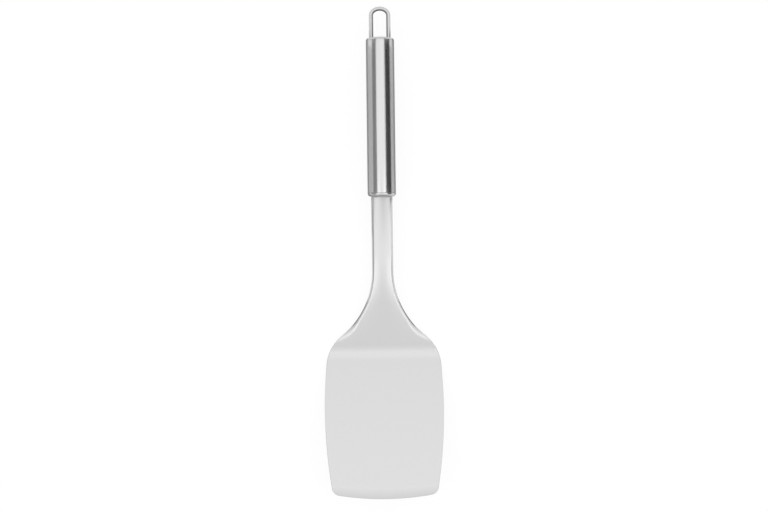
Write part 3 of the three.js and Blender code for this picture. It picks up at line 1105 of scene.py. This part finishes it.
    def build_weld(self) -> Surface:
        """Carries two hollow fillets over the shank's back where it leaves the lower cap.

        At the angle p a fillet stands w (1 - sin p) in front of the cap's face and w (1 - cos p)
        off the shank, so it leaves the shank level and meets the face upright. Its size w runs
        out to nothing in the middle and along the rims.

        Returns:
            The fillets, with their edges just inside the steel.
        """
        line = self.shank_section()
        run = unit(np.gradient(line, axis=0))
        off = np.stack([-run[:, 1], run[:, 0]], -1)
        back = line + self.sheet * off + (0, self.tang_lift)
        p = np.linspace(0, np.pi / 2, self.weld_points)[:, None]
        away = np.abs(np.linspace(-1, 1, len(line)))
        size = self.weld * smoothstep(away, *self.weld_inner) * (1 - smoothstep(away, *self.weld_outer))
        x, z = np.moveaxis(back + (size * (1 - np.cos(p)) - WELD_SINK)[..., None] * off, -1, 0)
        face = self.handle.lower_face
        radius = np.minimum(np.hypot(x, z), face.corner[0])
        y = -face.height_at(radius) - size * (1 - np.sin(p)) + WELD_SINK
        surface = Surface()
        numbers = surface.add_points(np.stack([x, y, z], -1))
        surface.add_quads(numbers)
        surface.marks["dull_and_shade"] = np.ones(numbers.shape)
        return surface

    def dress(self, axis: HandleAxis) -> None:
        """Makes the stamping and its weld and gives them their finish.

        Args:
            axis: Axis on which they are laid.
        """
        material = SATIN_SHEET.material(axis)
        sheet = self.build().to_piece("satin_blade_and_shank", axis, material)
        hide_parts("blade_and_shank")
        weld = self.build_weld().to_piece("shank_weld", axis, material)


# Studio


@dataclass(frozen=True)
class Sheet:
    """A flat rectangle of the studio: the table, a lamp's soft panel, or a matt or shining card.

    Attributes:
        name: Its name.
        low: Corner with the smallest x, y and z, in metres.
        high: The opposite corner, equal to it along one axis.
        colour: Colour of a matt sheet.
        strength: Brightness of a shining one, where 1 is white. A panel adds it to the surround's.
    """

    name: str
    low: tuple[float, float, float]
    high: tuple[float, float, float]
    colour: str = "#ffffff"
    strength: float = 0.0

    def pair(self) -> tuple["Sheet", "Sheet"]:
        """Doubles a sheet that is on the right.

        Returns:
            Its mirror image on the left and the sheet itself, both named for their sides.
        """
        low, high = (-self.high[0], *self.low[1:]), (-self.low[0], *self.high[1:])
        left = replace(self, name=f"left_{self.name}", low=low, high=high)
        return left, replace(self, name=f"right_{self.name}")

    def corners(self) -> list[tuple[float, ...]]:
        """Walks round the four corners.

        Returns:
            The corners in metres.
        """
        low, high = np.array(self.low), np.array(self.high)
        first, second = np.eye(3)[high > low]
        turns = (0 * first, first, first + second, second)
        return [tuple((low + turn * (high - low)).tolist()) for turn in turns]

    def lay(self, material: bpy.types.Material) -> bpy.types.Object:
        """Makes the sheet a mesh in the scene.

        Args:
            material: What it is made of.

        Returns:
            The new object.
        """
        mesh = bpy.data.meshes.new(self.name)
        mesh.from_pydata(self.corners(), [], [(0, 1, 2, 3)])
        mesh.materials.append(material)
        sheet = add_object(self.name, mesh)
        return sheet


TABLE = Sheet("table", (-3.0, -3.0, 0.0), (3.0, 3.0, 0.0), "#f6f6f6")

# A broad panel hangs over the turner, brighter strips on both sides in front of it, and wings
# beyond them.
PANELS = (Sheet("broad_panel", (-1.5, -0.27, 1.3), (1.5, 0.8, 1.3), strength=0.25),
          *Sheet("strip", (0.32, -0.6, 1.32), (1.0, -0.1, 1.32), strength=0.62).pair(),
          *Sheet("wing", (1.0, -1.4, 1.34), (3.0, -0.1, 1.34), strength=0.8).pair())

# Cards stand beside the handle: pale ones on the table, and over them a grey and a black one for
# the tube's dark lines. Another shades the shank's left side, and a far light brightens its right
# side. Far cards, and shades on the table, darken the neck's rims, the tube's flanks and the lower
# cap's corner. White papers brighten the flanks of shank and loop.
CARDS = (Sheet("left_stand", (-0.0302, 0.037, 0.0), (-0.0302, 0.15, 0.027), "#e6e6e6"),
         Sheet("right_stand", (0.0302, 0.037, 0.0), (0.0302, 0.15, 0.0194), "#e6e6e6"),
         Sheet("grey_card", (-0.03, 0.037, 0.027), (-0.03, 0.159, 0.042), "#919191"),
         Sheet("upper_grey_card", (-0.03, 0.028, 0.042), (-0.03, 0.174, 0.058), "#919191"),
         Sheet("black_card", (0.03, 0.036, 0.0194), (0.03, 0.159, 0.042), "#373737"),
         Sheet("upper_black_card", (0.03, 0.03, 0.042), (0.03, 0.174, 0.056), "#373737"),
         Sheet("shank_card", (-0.04, -0.012, 0.01), (-0.04, 0.034, 0.05), "#b9b9b9"),
         Sheet("far_light", (1.0, -0.1, 0.1), (1.0, 0.27, 0.75), strength=1.4),
         *Sheet("far_card", (1.0, -0.9, 0.0), (1.0, -0.1, 0.8), "#535353").pair(),
         Sheet("left_paper", (-0.035, -0.034, 0.0006), (-0.014, 0.012, 0.0006), "#f4f4f4"),
         Sheet("right_paper", (0.014, -0.034, 0.0006), (0.035, 0.036, 0.0006), "#f4f4f4"),
         Sheet("loop_paper", (-0.04, 0.152, 0.0006), (0.04, 0.22, 0.0006), "#f4f4f4"),
         Sheet("cap_shade", (-0.035, 0.012, 0.0008), (-0.012, 0.036, 0.0008), "#a3a3a3"),
         *Sheet("shade", (0.009, 0.036, 0.0008), (0.037, 0.158, 0.0008), "#a3a3a3").pair(),
         *Sheet("neck_shade", (0.012, -0.085, 0.0006), (0.1, -0.034, 0.0006), "#9a9a9a").pair())


@dataclass
class Studio:
    """Table, light and camera of an overhead product picture.

    Attributes:
        camera_height: Height of the camera above the table, in metres.
        camera_over: Place x and y under the camera, in metres.
        focal_pixels: Focal length in pixels of the picture.
        roll: Turn of the picture in degrees.
        floor_share: Share of the table's white that doesn't depend on the light.
    """

    camera_height: float = 1.1
    camera_over: tuple[float, float] = (0.00105, -0.0034)
    focal_pixels: float = 1536.26
    roll: float = 0.7
    floor_share: float = 0.9

    def set_camera(self) -> None:
        """Hangs the camera straight above the table."""
        data = bpy.data.cameras.new("camera")
        data.sensor_width = SENSOR_WIDTH
        data.lens = self.focal_pixels * SENSOR_WIDTH / IMAGE_WIDTH
        camera = add_object("camera", data)
        camera.location = (*self.camera_over, self.camera_height)
        camera.rotation_euler = (0, 0, -math.radians(self.roll))
        bpy.context.scene.camera = camera

    def set_light(self) -> None:
        """Lights the table with a white surround and soft panels overhead."""
        world = bpy.data.worlds.new("white_surround")
        tree = fresh_tree(world)
        white = add_node(tree, "ShaderNodeBackground", {"Color": (1, 1, 1, 1), "Strength": 1.0})
        add_node(tree, "ShaderNodeOutputWorld", links={"Surface": white.outputs[0]})
        bpy.context.scene.world = world
        for sheet in PANELS:
            low, high = np.array(sheet.low), np.array(sheet.high)
            data = bpy.data.lights.new(sheet.name, "AREA")
            data.shape = "RECTANGLE"
            data.size, data.size_y = (high - low)[:2].tolist()
            # A panel of pi watts per square metre is as bright as white.
            data.energy = sheet.strength * math.pi * data.size * data.size_y
            panel = add_object(sheet.name, data)
            panel.location = (low + high) / 2
            panel.visible_camera = False

    def set_cards(self) -> None:
        """Puts up the cards and papers, which only show in the steel."""
        for sheet in CARDS:
            material = bpy.data.materials.new(sheet.name)
            tree = fresh_tree(material)
            if sheet.strength:
                face = add_node(tree, "ShaderNodeEmission", {"Strength": sheet.strength})
            else:
                face = add_node(tree, "ShaderNodeBsdfDiffuse", {"Color": linear(sheet.colour)})
            add_node(tree, "ShaderNodeOutputMaterial", links={"Surface": face.outputs[0]})
            card = sheet.lay(material)
            card.visible_camera = False
            card.visible_diffuse = False
            card.visible_shadow = False

    def set_floor(self) -> None:
        """Lays a table that looks white, to the camera and in the steel, and keeps a faint shadow."""
        material = bpy.data.materials.new("white_table")
        tree = fresh_tree(material)
        path = add_node(tree, "ShaderNodeLightPath").outputs
        is_seen = path["Is Camera Ray"]
        for kind in ("Glossy", "Transmission"):
            is_seen = add_node(tree, "ShaderNodeMath", {"operation": "MAXIMUM"},
                               {0: is_seen, 1: path[f"Is {kind} Ray"]}).outputs[0]
        share = add_node(tree, "ShaderNodeMath", {"operation": "MULTIPLY", 1: self.floor_share},
                         {0: is_seen}).outputs[0]
        matt = add_node(tree, "ShaderNodeBsdfDiffuse", {"Color": linear(TABLE.colour)}).outputs[0]
        white = add_node(tree, "ShaderNodeEmission", {"Color": (1, 1, 1, 1), "Strength": 1.0}).outputs[0]
        mixed = add_node(tree, "ShaderNodeMixShader", links={0: share, 1: matt, 2: white})
        add_node(tree, "ShaderNodeOutputMaterial", links={"Surface": mixed.outputs[0]})
        TABLE.lay(material)

    def dress(self) -> None:
        """Sets up the whole studio."""
        bpy.context.scene.view_settings.view_transform = "Standard"
        self.set_camera()
        self.set_light()
        self.set_cards()
        self.set_floor()


def main() -> None:
    """Builds the turner and its studio."""
    logging.basicConfig(level=logging.INFO, format="%(message)s")
    handle = Handle()
    axis = HandleAxis.of_tube("handle_tube", handle.length)
    for part in (handle, HangingLoop(handle), Stamping(handle)):
        log.info("Dressing %s", type(part).__name__)
        part.dress(axis)
    Studio().dress()


if __name__ == "__main__":
    main()
